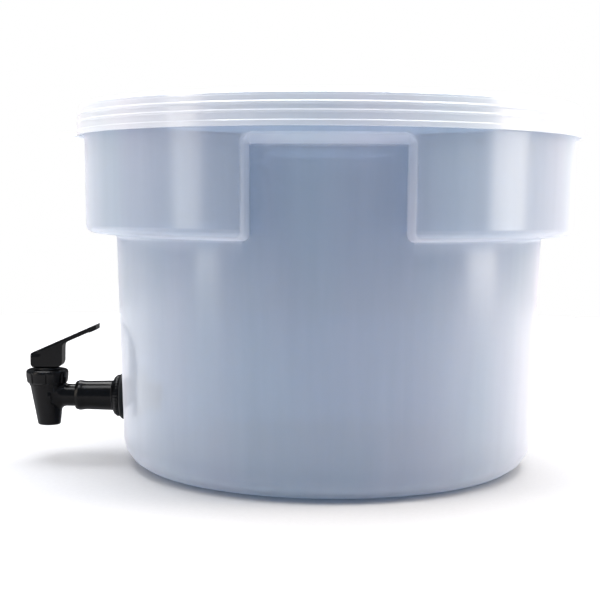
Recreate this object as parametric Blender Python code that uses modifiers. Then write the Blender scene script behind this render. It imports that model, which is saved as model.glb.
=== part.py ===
"""Round food-grade container with a snap lid and a push-lever tap, as separate closed solids.

Metres, +Z up. The origin is the middle of the underside of the base, and the tap points along -X.
A radius profile is a list of (radius, height) corners, and a third number rounds the corner.
"""

from math import acos, atan2, cos, pi, radians, sin, sqrt, tan

import bmesh
import bpy
from mathutils import Matrix, Vector

# Gaps. Pieces that touch in life keep FIT_GAP between their meshes.
FIT_GAP = 0.0003
PIN_GAP = 0.00015
CUT_MARGIN = 0.004
PROUD = 0.00005               # keeps the recess floors off the body's own cone, so that no faces coincide

# Bucket
BODY_RADIUS = 0.1328          # outside, where the body meets the band
BODY_HEIGHT = 0.1434          # floor to the band
BODY_DRAFT = radians(1.88)
BASE_CORNER = 0.0175
BAND_STEP = 0.0186            # how far the band stands out from the body
BAND_HEIGHT = 0.0780
BAND_DRAFT = radians(0.9)
BAND_CORNER = 0.0050
UNDERSIDE_SLOPE = radians(7.0)
SHOULDER_FILLET = 0.0020
RIM_OVERHANG = 0.0025         # beyond the band, as wide as the lid's skirt needs
RIM_THICKNESS = 0.0030
WALL = 0.0024
FLOOR = 0.0030

# Finger recesses, front and back
RECESS_HALF_WIDTH = 0.0460    # at the band's surface
RECESS_SIDE_DRAFT = radians(11.7)
RECESS_CEILING_SLOPE = radians(16.0)
RECESS_BELOW_RIM = 0.0209

# Lid
LID_WALL = 0.0016
LID_SKIRT = 0.0193
LID_CORNER = 0.0030
LID_PANEL_DEPTH = 0.0068      # lid top to the sunk panel
LID_PLUG_GAP = 0.0003
TAB_REACH = 0.0135
TAB_HALF_WIDTH = 0.0130
TAB_THICKNESS = 0.0018
TAB_CORNER = 0.0060

# Tap: the shank tube and what clamps it in the wall
TAP_HEIGHT = 0.0398
SHANK_RADIUS = 0.0088
SHANK_BORE = 0.0060
SHANK_INSIDE = 0.0205         # how far the shank stands into the bucket
GASKET_LEDGE = 0.0062         # gasket beyond the shank
OUTER_GASKET = 0.0024
INNER_GASKET = 0.0026
FLANGE_LEDGE = 0.0044
FLANGE_THICKNESS = 0.0017
FLANGE_CONE = 0.0027
TUBE_WALL = 0.0019
TUBE_LENGTH = 0.0188          # flange to the rolled mouth
MOUTH_ROLL = 0.00075          # how far the mouth's bead stands out
MOUTH_LENGTH = 0.0054
NUT_WALL = 0.0036
NUT_THICKNESS = 0.0070

# Tap: neck and spout
NECK_RADIUS = 0.0071
NECK_BORE = 0.0046
NECK_DEPTH = 0.0145           # how far the neck goes into the tube
O_RING_SECTION = 0.0006
O_RING_FROM_END = 0.0038
STEM_REACH = 0.0503           # wall to the stem's axis
SPOUT_WALL = 0.0033           # at the top, round the chamber
SPOUT_END_SHIFT = 0.0012      # the outlet sits nearer the wall than the stem
SPOUT_DROP = 0.0189           # tube's axis to the outlet
SPOUT_BORE = 0.0054
SPOUT_LIP = 0.0016
SEAT_RADIUS = 0.0042
SEAT_LAND = 0.0020
SEAT_LEDGE = 0.0006
SEAT_UNDER_BORE = 0.0017

# Tap: threaded collar and bonnet
THREAD_STEP = 0.0004
THREAD_LIP = 0.0012           # what shows of the threaded collar under the bonnet
THREAD_LENGTH = 0.0038
NECK_TO_BONNET = 0.0009
BONNET_WALL = 0.00185
BONNET_ROOF = 0.0020
BONNET_CORNER = 0.0028
PAD_RADIUS = 0.0098
PAD_HEIGHT = 0.0020

# Tap: stem, spring, seat cup and washer
STEM_RADIUS = 0.0026
COLLAR_LEDGE = 0.00035
COLLAR_THICKNESS = 0.0014
BUTTON_RADIUS = 0.0024
BUTTON_LENGTH = 0.0028
CUP_RIM = 0.0015
CUP_WALL = 0.0010
CUP_TAPER = 0.0006
CUP_PLUG = 0.0030
CHAMBER_GAP = 0.0007
WASHER_LEDGE = 0.00095
WASHER_THICKNESS = 0.0006
SPRING_WIRE = 0.00045
SPRING_CLEARANCE = 0.00115    # stem to the inside of the coil
SPRING_TURNS = 6.5

# Tap: lever and its pin
PIN_RADIUS = 0.00125
PIN_ABOVE_FOOT = 0.0070
LEVER_CHEEK = 0.0031
LEVER_BACK = 0.0096           # stem axis to the lever's outer end
LEVER_FRONT = 0.0107          # stem axis to the foot's other side
LEVER_FOOT_CORNER = 0.0042
LEVER_BACK_HEIGHT = 0.0090    # foot to the low end of the top
LEVER_RISE = radians(24.0)
LEVER_TIP = 0.0328            # stem axis to the tip
LEVER_BLADE = 0.0024
LEVER_BLADE_FILLET = 0.0035
LEVER_TILT = radians(30.0)

ROUND_STEPS = 60              # a multiple of four, so that the widest points lie on X and Y
SMALL_STEPS = 24
PIN_STEPS = 16
ARC_STEPS = 4

# Worked out from the sizes above
RIM_HEIGHT = BODY_HEIGHT + BAND_HEIGHT
BAND_BOTTOM = BODY_HEIGHT + BAND_STEP * tan(UNDERSIDE_SLOPE)
LID_TOP = RIM_HEIGHT + FIT_GAP + LID_WALL


def body_radius(height):
    """The body's outside radius at a height."""
    return BODY_RADIUS - (BODY_HEIGHT - height) * tan(BODY_DRAFT)


def band_radius(height):
    """The band's outside radius at a height."""
    return BODY_RADIUS + BAND_STEP + (height - BODY_HEIGHT) * tan(BAND_DRAFT)


RIM_RADIUS = band_radius(RIM_HEIGHT) + RIM_OVERHANG

# Along the tap's tube, distances run outwards from the wall's outer face.
WALL_RADIUS = body_radius(TAP_HEIGHT)
WALL_ACROSS = WALL / cos(BODY_DRAFT)
FLANGE_FACE = FIT_GAP + OUTER_GASKET + FIT_GAP
TUBE_START = FLANGE_FACE + FLANGE_THICKNESS + FLANGE_CONE
MOUTH_START = TUBE_START + TUBE_LENGTH
MOUTH_END = MOUTH_START + MOUTH_LENGTH
NECK_END = MOUTH_END - NECK_DEPTH
NUT_FACE = -(WALL_ACROSS + FIT_GAP + INNER_GASKET + FIT_GAP)
SHANK_END = -(WALL_ACROSS + SHANK_INSIDE)
SHANK_HOLE = SHANK_RADIUS + FIT_GAP
GASKET_RADIUS = SHANK_RADIUS + GASKET_LEDGE
FLANGE_RADIUS = SHANK_RADIUS + FLANGE_LEDGE
NUT_CORNER = (SHANK_HOLE + NUT_WALL) * 2 / sqrt(3)
TUBE_BORE = NECK_RADIUS + FIT_GAP
TUBE_RADIUS = TUBE_BORE + TUBE_WALL
MOUTH_RADIUS = TUBE_RADIUS + MOUTH_ROLL

# Radii about the stem's axis, from the stem outwards
STEM_X = -(WALL_RADIUS + STEM_REACH)
STEM_HOLE = STEM_RADIUS + FIT_GAP
SPRING_RADIUS = STEM_RADIUS + SPRING_CLEARANCE + SPRING_WIRE
WASHER_RADIUS = SPRING_RADIUS + SPRING_WIRE + WASHER_LEDGE
COLLAR_RADIUS = SPRING_RADIUS + SPRING_WIRE + COLLAR_LEDGE
CUP_INSIDE = COLLAR_RADIUS + FIT_GAP
CUP_MOUTH = CUP_INSIDE + CUP_TAPER
CHAMBER_RADIUS = CUP_MOUTH + CUP_WALL + CHAMBER_GAP
SPOUT_TOP_RADIUS = CHAMBER_RADIUS + SPOUT_WALL
SPOUT_END_RADIUS = SPOUT_BORE + SPOUT_LIP
THREAD_RADIUS = SPOUT_TOP_RADIUS + THREAD_STEP
BONNET_RADIUS = THREAD_RADIUS + FIT_GAP + BONNET_WALL
PAD_HOLLOW = PAD_RADIUS - BONNET_ROOF
LEVER_HALF_WIDTH = STEM_HOLE + LEVER_CHEEK

# Heights along the stem's axis, from the outlet up
SPOUT_END_HEIGHT = TAP_HEIGHT - SPOUT_DROP
SEAT_HEIGHT = TAP_HEIGHT - NECK_BORE - SEAT_UNDER_BORE
COLLAR_HEIGHT = SEAT_HEIGHT + CUP_PLUG + FIT_GAP + BUTTON_LENGTH
COLLAR_TOP = COLLAR_HEIGHT + COLLAR_THICKNESS
BONNET_BOTTOM = TAP_HEIGHT + NECK_RADIUS + NECK_TO_BONNET
BODY_TOP_HEIGHT = BONNET_BOTTOM + THREAD_LENGTH
CUP_RIM_TOP = BODY_TOP_HEIGHT + FIT_GAP + CUP_RIM
CEILING = CUP_RIM_TOP + FIT_GAP
BONNET_TOP = CEILING + BONNET_ROOF
PAD_TOP = BONNET_TOP + PAD_HEIGHT
PAD_CEILING = PAD_TOP - BONNET_ROOF
WASHER_TOP = PAD_CEILING - FIT_GAP
SPRING_BOTTOM = COLLAR_TOP + FIT_GAP + SPRING_WIRE
SPRING_TOP = WASHER_TOP - WASHER_THICKNESS - FIT_GAP - SPRING_WIRE
FOOT_HEIGHT = PAD_TOP + FIT_GAP
PIN_HEIGHT = FOOT_HEIGHT + PIN_ABOVE_FOOT


def rounded(corners):
    """The outline's points, with each corner that has a radius turned into an arc."""
    points = []
    for index, corner in enumerate(corners):
        here = Vector(corner[:2])
        radius = corner[2] if len(corner) > 2 else 0.0
        if not radius:
            points.append(tuple(here))
            continue
        back = (Vector(corners[index - 1][:2]) - here).normalized()
        ahead = (Vector(corners[(index + 1) % len(corners)][:2]) - here).normalized()
        half = acos(max(-1.0, min(1.0, back.dot(ahead)))) / 2
        centre = here + (back + ahead).normalized() * radius / sin(half)
        start = here + back * radius / tan(half) - centre
        end = here + ahead * radius / tan(half) - centre
        turn = atan2(start.x * end.y - start.y * end.x, start.dot(end))
        for step in range(ARC_STEPS + 1):
            angle = turn * step / ARC_STEPS
            points.append((centre.x + start.x * cos(angle) - start.y * sin(angle),
                           centre.y + start.x * sin(angle) + start.y * cos(angle)))
    return points


def place(obj, collection, material=None):
    """Puts an object in its collection; an object with no material is a cutter."""
    collection.objects.link(obj)
    if material:
        obj.data.materials.append(material)
    else:
        obj.hide_render = True
        obj.display_type = "WIRE"
    return obj


def turned(name, corners, collection, material=None, closed=True, steps=SMALL_STEPS):
    """A (radius, height) profile turned about the object's Z; an open one starts and ends on the axis."""
    points = rounded(corners)
    count = len(points)
    mesh = bpy.data.meshes.new(name)
    edges = [(index, (index + 1) % count) for index in range(count if closed else count - 1)]
    mesh.from_pydata([(radius, 0.0, height) for radius, height in points], edges, [])
    obj = place(bpy.data.objects.new(name, mesh), collection, material)
    screw = obj.modifiers.new("Turn", "SCREW")
    screw.steps = screw.render_steps = steps
    screw.use_merge_vertices = True
    screw.merge_threshold = 0.00001
    screw.use_smooth_shade = True
    return obj


def along_tube(obj, distance=0.0):
    """Lays a turned shape along the tube, its Z pointing away from the wall, half a facet round from the stem's."""
    obj.location = (-WALL_RADIUS - distance, 0.0, TAP_HEIGHT)
    obj.rotation_mode = "ZYX"
    obj.rotation_euler = (0.0, -pi / 2, pi / SMALL_STEPS)
    return obj


def on_stem(obj):
    """Stands a turned shape on the stem's axis, with its heights left as they are."""
    obj.location = (STEM_X, 0.0, 0.0)
    return obj


def boolean(obj, other, operation="DIFFERENCE"):
    """Adds an exact Boolean between two closed meshes."""
    modifier = obj.modifiers.new(other.name, "BOOLEAN")
    modifier.operation = operation
    modifier.object = other
    modifier.solver = "EXACT"


def weld_after_cuts(collections):
    """Merges the doubled points that a Boolean leaves where a cut meets the seam of a turned shape."""
    for collection in collections:
        for obj in collection.objects:
            if any(modifier.type == "BOOLEAN" for modifier in obj.modifiers):
                obj.modifiers.new("Weld", "WELD").merge_threshold = 0.000001


def cylinder(name, radius, length, collection, material=None, steps=SMALL_STEPS):
    """A cylinder along its own Z, centred on its origin."""
    corners = [(0.0, length / 2), (radius, length / 2), (radius, -length / 2), (0.0, -length / 2)]
    return turned(name, corners, collection, material, closed=False, steps=steps)


def plate(name, outline, half_thickness, collection, material=None):
    """A flat (x, z) outline, extruded both ways along Y, as a mesh with welded caps."""
    curve = bpy.data.curves.new(name, "CURVE")
    curve.dimensions = "2D"
    curve.fill_mode = "BOTH"
    curve.extrude = half_thickness
    spline = curve.splines.new("POLY")
    spline.points.add(len(outline) - 1)
    for point, (x, z) in zip(spline.points, outline):
        point.co = (x, z, 0.0, 1.0)
    spline.use_cyclic_u = True
    guide = bpy.data.objects.new(name + "_outline", curve)
    bpy.context.scene.collection.objects.link(guide)
    evaluated = guide.evaluated_get(bpy.context.evaluated_depsgraph_get())
    mesh = bpy.data.meshes.new_from_object(evaluated)
    bpy.data.objects.remove(guide)
    mesh.name = name
    mesh.transform(Matrix.Rotation(pi / 2, 4, "X"))
    form = bmesh.new()
    form.from_mesh(mesh)
    bmesh.ops.remove_doubles(form, verts=form.verts, dist=0.000001)
    bmesh.ops.recalc_face_normals(form, faces=form.faces)
    form.to_mesh(mesh)
    form.free()
    return place(bpy.data.objects.new(name, mesh), collection, material)


def plastic(name, colour, roughness, transmission=0.0):
    """A Principled material with one colour."""
    material = bpy.data.materials.new(name)
    material.use_nodes = True
    shader = material.node_tree.nodes["Principled BSDF"]
    shader.inputs["Base Color"].default_value = (*colour, 1.0)
    shader.inputs["Roughness"].default_value = roughness
    shader.inputs["Transmission Weight"].default_value = transmission
    return material


def steel(name):
    """Drawn stainless steel."""
    material = plastic(name, (0.62, 0.61, 0.59), 0.3)
    material.node_tree.nodes["Principled BSDF"].inputs["Metallic"].default_value = 1.0
    return material


def recess_block(name, grown, collection):
    """A drafted block for one finger recess at -Y, larger by `grown` at its sides and ceiling."""
    band = BODY_RADIUS + BAND_STEP
    face = sqrt(band**2 - RECESS_HALF_WIDTH**2)
    outer, inner = band + 2 * CUT_MARGIN, BODY_RADIUS - 3 * CUT_MARGIN
    ceiling = RIM_HEIGHT - RECESS_BELOW_RIM
    form = bmesh.new()
    bmesh.ops.create_cube(form, size=2.0)
    for vertex in form.verts:
        out = outer if vertex.co.y < 0 else inner
        half = RECESS_HALF_WIDTH + (out - face) * tan(RECESS_SIDE_DRAFT) + grown / cos(RECESS_SIDE_DRAFT)
        top = ceiling + (out - band) * tan(RECESS_CEILING_SLOPE) + grown / cos(RECESS_CEILING_SLOPE)
        bottom = BODY_HEIGHT - CUT_MARGIN
        vertex.co = (half * vertex.co.x, -out, top if vertex.co.z > 0 else bottom)
    mesh = bpy.data.meshes.new(name)
    form.to_mesh(mesh)
    form.free()
    return place(bpy.data.objects.new(name, mesh), collection)


def body_core(name, offset, collection):
    """A solid cone along the body's wall, moved out by `offset`, from under the floor to over the rim."""
    low, high = -CUT_MARGIN, RIM_HEIGHT + CUT_MARGIN
    corners = [(0.0, high), (body_radius(high) + offset, high), (body_radius(low) + offset, low), (0.0, low)]
    return turned(name, corners, collection, closed=False, steps=ROUND_STEPS)


def make_bucket(parts, cutters, material):
    """The bucket: one wall that steps out at the band and stays in at the two finger recesses."""
    under_rim = RIM_HEIGHT - RIM_THICKNESS
    outside = [
        (0.0, RIM_HEIGHT), (RIM_RADIUS, RIM_HEIGHT, 0.0008), (RIM_RADIUS, under_rim),
        (band_radius(under_rim), under_rim), (band_radius(BAND_BOTTOM), BAND_BOTTOM, BAND_CORNER),
        (BODY_RADIUS, BODY_HEIGHT, SHOULDER_FILLET), (body_radius(0.0), 0.0, BASE_CORNER), (0.0, 0.0),
    ]
    rise = WALL / cos(UNDERSIDE_SLOPE) - WALL * tan(UNDERSIDE_SLOPE)
    mouth = RIM_HEIGHT + CUT_MARGIN
    inside = [
        (0.0, mouth), (band_radius(mouth) - WALL, mouth),
        (band_radius(BAND_BOTTOM) - WALL, BAND_BOTTOM + rise, BAND_CORNER - WALL),
        (BODY_RADIUS - WALL, BODY_HEIGHT + rise, SHOULDER_FILLET),
        (body_radius(FLOOR) - WALL, FLOOR, BASE_CORNER - WALL), (0.0, FLOOR),
    ]
    bucket = turned("bucket", outside, parts, material, closed=False, steps=ROUND_STEPS)
    hollow = turned("bucket_hollow", inside, cutters, closed=False, steps=ROUND_STEPS)
    for side, angle in (("front", 0.0), ("back", pi)):
        for target, skin, grown in ((bucket, "outer", 0.0), (hollow, "inner", WALL)):
            block = recess_block(f"{side}_recess_{skin}", grown, cutters)
            block.rotation_euler = (0.0, 0.0, angle)
            core = body_core(f"{side}_recess_{skin}_core", PROUD - grown, cutters)
            boolean(block, core)
            boolean(target, block)
    boolean(bucket, hollow)
    hole = cylinder("shank_hole", SHANK_HOLE, 4 * CUT_MARGIN, cutters)
    boolean(bucket, along_tube(hole))


def make_lid(parts, cutters, material):
    """The lid: a skirt over the rim, a plug wall inside it, a sunk panel and a lift tab over the tap."""
    radius = RIM_RADIUS + FIT_GAP + LID_WALL
    plug = band_radius(LID_TOP - LID_PANEL_DEPTH) - WALL - LID_PLUG_GAP
    panel = LID_TOP - LID_PANEL_DEPTH
    bottom = LID_TOP - LID_SKIRT
    profile = [
        (0.0, panel), (plug - LID_WALL, panel, 0.001), (plug - LID_WALL, LID_TOP, 0.0006),
        (radius, LID_TOP, LID_CORNER), (radius, bottom), (radius - LID_WALL, bottom),
        (radius - LID_WALL, LID_TOP - LID_WALL), (plug, LID_TOP - LID_WALL), (plug, panel - LID_WALL),
        (0.0, panel - LID_WALL),
    ]
    lid = turned("lid", profile, parts, material, closed=False, steps=ROUND_STEPS)
    reach, root = radius + TAB_REACH, radius - LID_WALL / 2
    outline = rounded([
        (-root, -TAB_HALF_WIDTH), (-root, TAB_HALF_WIDTH), (-reach, TAB_HALF_WIDTH, TAB_CORNER),
        (-reach, -TAB_HALF_WIDTH, TAB_CORNER),
    ])
    tab = plate("lid_tab", outline, TAB_THICKNESS / 2, cutters)
    tab.rotation_euler = (pi / 2, 0.0, 0.0)
    tab.location = (0.0, 0.0, bottom + TAB_THICKNESS / 2)
    boolean(lid, tab, "UNION")


def make_shank(parts, cutters, black, grey):
    """The tube through the wall, with its two gaskets and the nut inside."""
    tube = [
        (SHANK_BORE, MOUTH_END - NECK_DEPTH - FIT_GAP), (TUBE_BORE, MOUTH_END - NECK_DEPTH - FIT_GAP),
        (TUBE_BORE, MOUTH_END), (TUBE_BORE + 0.0006, MOUTH_END),
        (MOUTH_RADIUS, (MOUTH_START + MOUTH_END) / 2, 0.0006), (TUBE_RADIUS, MOUTH_START),
        (TUBE_RADIUS, TUBE_START), (FLANGE_RADIUS, FLANGE_FACE + FLANGE_THICKNESS, 0.0006),
        (FLANGE_RADIUS, FLANGE_FACE), (SHANK_RADIUS, FLANGE_FACE), (SHANK_RADIUS, SHANK_END),
        (SHANK_BORE, SHANK_END),
    ]
    along_tube(turned("shank_tube", tube, parts, black))

    washer = [(SHANK_HOLE, FLANGE_FACE - FIT_GAP), (GASKET_RADIUS, FLANGE_FACE - FIT_GAP),
              (GASKET_RADIUS, -CUT_MARGIN), (SHANK_HOLE, -CUT_MARGIN)]
    outer = along_tube(turned("outer_gasket", washer, parts, grey))
    boolean(outer, body_core("wall_outside", FIT_GAP, cutters))

    washer = [(SHANK_HOLE, CUT_MARGIN), (GASKET_RADIUS, CUT_MARGIN),
              (GASKET_RADIUS, NUT_FACE + FIT_GAP), (SHANK_HOLE, NUT_FACE + FIT_GAP)]
    inner = along_tube(turned("inner_gasket", washer, parts, grey))
    boolean(inner, body_core("wall_inside", -WALL_ACROSS - FIT_GAP, cutters), "INTERSECT")

    nut = turned("inner_lock_nut", [
        (SHANK_HOLE, NUT_FACE), (NUT_CORNER, NUT_FACE), (NUT_CORNER, NUT_FACE - NUT_THICKNESS),
        (SHANK_HOLE, NUT_FACE - NUT_THICKNESS),
    ], parts, black)
    blank = cylinder("nut_flats", NUT_CORNER, 3 * NUT_THICKNESS, cutters, steps=6)
    boolean(along_tube(nut), along_tube(blank, NUT_FACE), "INTERSECT")


def oblique_cone(name, stations, collection, material=None):
    """Rings at (height, radius, shift towards the wall), joined in turn into one closed solid."""
    form = bmesh.new()
    rings = []
    for height, radius, shift in stations:
        made = bmesh.ops.create_circle(form, segments=SMALL_STEPS, radius=radius)["verts"]
        bmesh.ops.translate(form, verts=made, vec=(STEM_X + shift, 0.0, height))
        rings.append([edge for edge in form.edges if edge.verts[0] in made and edge.verts[1] in made])
    for lower, upper in zip(rings, rings[1:]):
        bmesh.ops.bridge_loops(form, edges=lower + upper)
    for ring in (rings[0], rings[-1]):
        bmesh.ops.contextual_create(form, geom=ring)
    bmesh.ops.recalc_face_normals(form, faces=form.faces)
    mesh = bpy.data.meshes.new(name)
    form.to_mesh(mesh)
    form.free()
    return place(bpy.data.objects.new(name, mesh), collection, material)


def make_tap_body(parts, cutters, black):
    """Spout and neck in one moulding: chamber over the seat, spout bore under it."""
    slope = (SPOUT_TOP_RADIUS - SPOUT_END_RADIUS) / (BONNET_BOTTOM - SPOUT_END_HEIGHT)
    edge = 0.0008
    body = oblique_cone("tap_body", [
        (SPOUT_END_HEIGHT, SPOUT_END_RADIUS - edge / 2, SPOUT_END_SHIFT),
        (SPOUT_END_HEIGHT + edge, SPOUT_END_RADIUS + slope * edge, SPOUT_END_SHIFT),
        (BONNET_BOTTOM - FIT_GAP, SPOUT_TOP_RADIUS, 0.0),
    ], parts, black)
    thread = on_stem(turned("tap_thread", [
        (0.0, BODY_TOP_HEIGHT), (THREAD_RADIUS, BODY_TOP_HEIGHT, 0.0005),
        (THREAD_RADIUS, BONNET_BOTTOM - THREAD_LIP), (0.0, BONNET_BOTTOM - THREAD_LIP),
    ], cutters, closed=False))
    neck_start = STEM_REACH - SEAT_RADIUS / 2
    groove = NECK_END + O_RING_FROM_END
    half = O_RING_SECTION + FIT_GAP
    floor = NECK_RADIUS - 2 * O_RING_SECTION - FIT_GAP / 2
    neck = along_tube(turned("tap_neck", [
        (0.0, neck_start), (NECK_RADIUS, neck_start), (NECK_RADIUS, groove + half), (floor, groove + half),
        (floor, groove - half), (NECK_RADIUS, groove - half), (NECK_RADIUS, NECK_END), (0.0, NECK_END),
    ], cutters, closed=False))
    chamber = on_stem(turned("tap_chamber", [
        (0.0, BODY_TOP_HEIGHT + CUT_MARGIN), (CHAMBER_RADIUS, BODY_TOP_HEIGHT + CUT_MARGIN),
        (CHAMBER_RADIUS, SEAT_HEIGHT + CHAMBER_RADIUS - SEAT_RADIUS - 0.001, 0.001),
        (SEAT_RADIUS, SEAT_HEIGHT), (SEAT_RADIUS, SEAT_HEIGHT - SEAT_LAND), (0.0, SEAT_HEIGHT - SEAT_LAND),
    ], cutters, closed=False))
    # Half of half a facet, so that none of its edges lies on one of the neck's or the bore's.
    chamber.rotation_euler.z = pi / SMALL_STEPS / 2
    spout = oblique_cone("spout_bore", [
        (SPOUT_END_HEIGHT - CUT_MARGIN, SPOUT_BORE, SPOUT_END_SHIFT),
        (SPOUT_END_HEIGHT, SPOUT_BORE, SPOUT_END_SHIFT),
        (SEAT_HEIGHT - SEAT_LAND / 4, SEAT_RADIUS - SEAT_LEDGE, 0.0),
    ], cutters)
    bore_length = neck_start - NECK_END + CUT_MARGIN
    bore = cylinder("neck_bore", NECK_BORE, bore_length, cutters)
    along_tube(bore, neck_start - SEAT_LAND / 2 - bore_length / 2)
    for added in (thread, neck):
        boolean(body, added, "UNION")
    for removed in (chamber, spout, bore):
        boolean(body, removed)

    middle = NECK_RADIUS - O_RING_SECTION + FIT_GAP / 4
    section = [(middle + O_RING_SECTION * cos(-pi * step / 5), groove + O_RING_SECTION * sin(-pi * step / 5))
               for step in range(10)]
    along_tube(turned("shank_o_ring", section, parts, plastic("o_ring_rubber", (0.02, 0.02, 0.02), 0.6)))


def make_bonnet(parts, black):
    """The cap that screws on the tap body, with a raised pad that the lever's foot rocks on."""
    thread = THREAD_RADIUS + FIT_GAP
    profile = [
        (STEM_HOLE, PAD_TOP), (PAD_RADIUS, PAD_TOP, 0.0007), (PAD_RADIUS, BONNET_TOP, 0.0006),
        (BONNET_RADIUS, BONNET_TOP, BONNET_CORNER), (BONNET_RADIUS, BONNET_BOTTOM, 0.0006),
        (thread, BONNET_BOTTOM), (thread, CEILING), (PAD_HOLLOW, CEILING), (PAD_HOLLOW, PAD_CEILING),
        (STEM_HOLE, PAD_CEILING),
    ]
    on_stem(turned("bonnet", profile, parts, black))


def make_seat_cup(parts, silicone):
    """Silicone bell: its rim is held by the bonnet, and its plug closes the seat."""
    rim = THREAD_RADIUS - FIT_GAP
    foot = COLLAR_HEIGHT - BUTTON_LENGTH - FIT_GAP
    rim_bottom = BODY_TOP_HEIGHT + FIT_GAP
    profile = [
        (0.0, foot), (BUTTON_RADIUS + FIT_GAP, foot), (BUTTON_RADIUS + FIT_GAP, COLLAR_HEIGHT - FIT_GAP),
        (CUP_INSIDE, COLLAR_HEIGHT - FIT_GAP), (CUP_MOUTH, CUP_RIM_TOP), (rim, CUP_RIM_TOP), (rim, rim_bottom),
        (CUP_MOUTH + CUP_WALL, rim_bottom), (CUP_INSIDE + CUP_WALL, COLLAR_HEIGHT - CUP_WALL - FIT_GAP, 0.0008),
        (SEAT_RADIUS, SEAT_HEIGHT + 0.0008, 0.0006), (0.0, SEAT_HEIGHT + 0.0002),
    ]
    on_stem(turned("seat_cup", profile, parts, silicone, closed=False))


def make_stem(parts, cutters, white):
    """The rod from the lever to the seat cup, with the spring's collar and the cup's button."""
    top = [(STEM_RADIUS * sin(pi / 12 * step), PIN_HEIGHT + STEM_RADIUS * cos(pi / 12 * step))
           for step in range(7)]
    profile = top + [
        (STEM_RADIUS, COLLAR_TOP), (COLLAR_RADIUS, COLLAR_TOP), (COLLAR_RADIUS, COLLAR_HEIGHT),
        (BUTTON_RADIUS, COLLAR_HEIGHT), (BUTTON_RADIUS, COLLAR_HEIGHT - BUTTON_LENGTH, 0.0006),
        (0.0, COLLAR_HEIGHT - BUTTON_LENGTH),
    ]
    stem = on_stem(turned("stem", profile, parts, white, closed=False))
    hole = cylinder("stem_pin_hole", PIN_RADIUS + PIN_GAP, 4 * STEM_RADIUS, cutters, steps=PIN_STEPS)
    boolean(stem, at_pin(hole))


def make_spring(parts, metal, white):
    """The closing spring on the stem's collar, and the washer that its top end turns against."""
    washer = [(STEM_HOLE, WASHER_TOP), (WASHER_RADIUS, WASHER_TOP),
              (WASHER_RADIUS, WASHER_TOP - WASHER_THICKNESS), (STEM_HOLE, WASHER_TOP - WASHER_THICKNESS)]
    on_stem(turned("slip_washer", washer, parts, white))
    curve = bpy.data.curves.new("closing_spring", "CURVE")
    curve.dimensions = "3D"
    curve.bevel_depth = SPRING_WIRE
    curve.bevel_resolution = 2
    curve.use_fill_caps = True
    count = int(10 * SPRING_TURNS)
    spline = curve.splines.new("POLY")
    spline.points.add(count)
    for index, point in enumerate(spline.points):
        share = index / count
        angle = 2 * pi * SPRING_TURNS * share
        height = SPRING_BOTTOM + (SPRING_TOP - SPRING_BOTTOM) * share
        point.co = (SPRING_RADIUS * cos(angle), SPRING_RADIUS * sin(angle), height, 1.0)
    on_stem(place(bpy.data.objects.new("closing_spring", curve), parts, metal))


def at_pin(obj):
    """Lays a turned shape across the stem, on the lever's hinge."""
    obj.location = (STEM_X, 0.0, PIN_HEIGHT)
    obj.rotation_euler = (pi / 2, 0.0, 0.0)
    return obj


def lever_outline():
    """The lever from the side, about its pin: foot with a rolling corner, and a thin rising blade."""
    foot = -PIN_ABOVE_FOOT
    slope = tan(LEVER_RISE)
    low = foot + LEVER_BACK_HEIGHT
    tip = low + (LEVER_TIP + LEVER_BACK) * slope
    blade = LEVER_BLADE / cos(LEVER_RISE)
    under = low + (LEVER_FRONT + LEVER_BACK) * slope - blade
    return rounded([
        (-LEVER_BACK, foot, 0.0008), (LEVER_FRONT, foot, LEVER_FOOT_CORNER),
        (LEVER_FRONT, under, LEVER_BLADE_FILLET), (LEVER_TIP, tip - blade, 0.0006), (LEVER_TIP, tip, 0.0006),
        (-LEVER_BACK, low, 0.0008),
    ])


def make_lever(parts, cutters, black, metal):
    """The push lever and its pin. A slot in the foot straddles the stem over the whole tilt."""
    lever = plate("tap_lever", lever_outline(), LEVER_HALF_WIDTH, parts, black)
    lever.location = (STEM_X, 0.0, PIN_HEIGHT)
    room = STEM_HOLE
    depth = PIN_ABOVE_FOOT + CUT_MARGIN
    arc = [(-room * cos(angle), room * sin(angle)) for angle in
           [(pi - LEVER_TILT) * step / 10 for step in range(11)]]
    last = arc[-1]
    reach = (depth + last[1]) / cos(LEVER_TILT)
    slot = plate("lever_slot", [(-room, -depth)] + arc + [
        (last[0] + reach * sin(LEVER_TILT), -depth)], room, cutters)
    slot.location = lever.location
    boolean(lever, slot)
    pin_hole = cylinder("lever_pin_hole", PIN_RADIUS + PIN_GAP, 4 * LEVER_HALF_WIDTH, cutters, steps=PIN_STEPS)
    boolean(lever, at_pin(pin_hole))
    pin = cylinder("lever_pin", PIN_RADIUS, 2 * LEVER_HALF_WIDTH - 2 * FIT_GAP, parts, metal, steps=PIN_STEPS)
    at_pin(pin)


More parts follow.
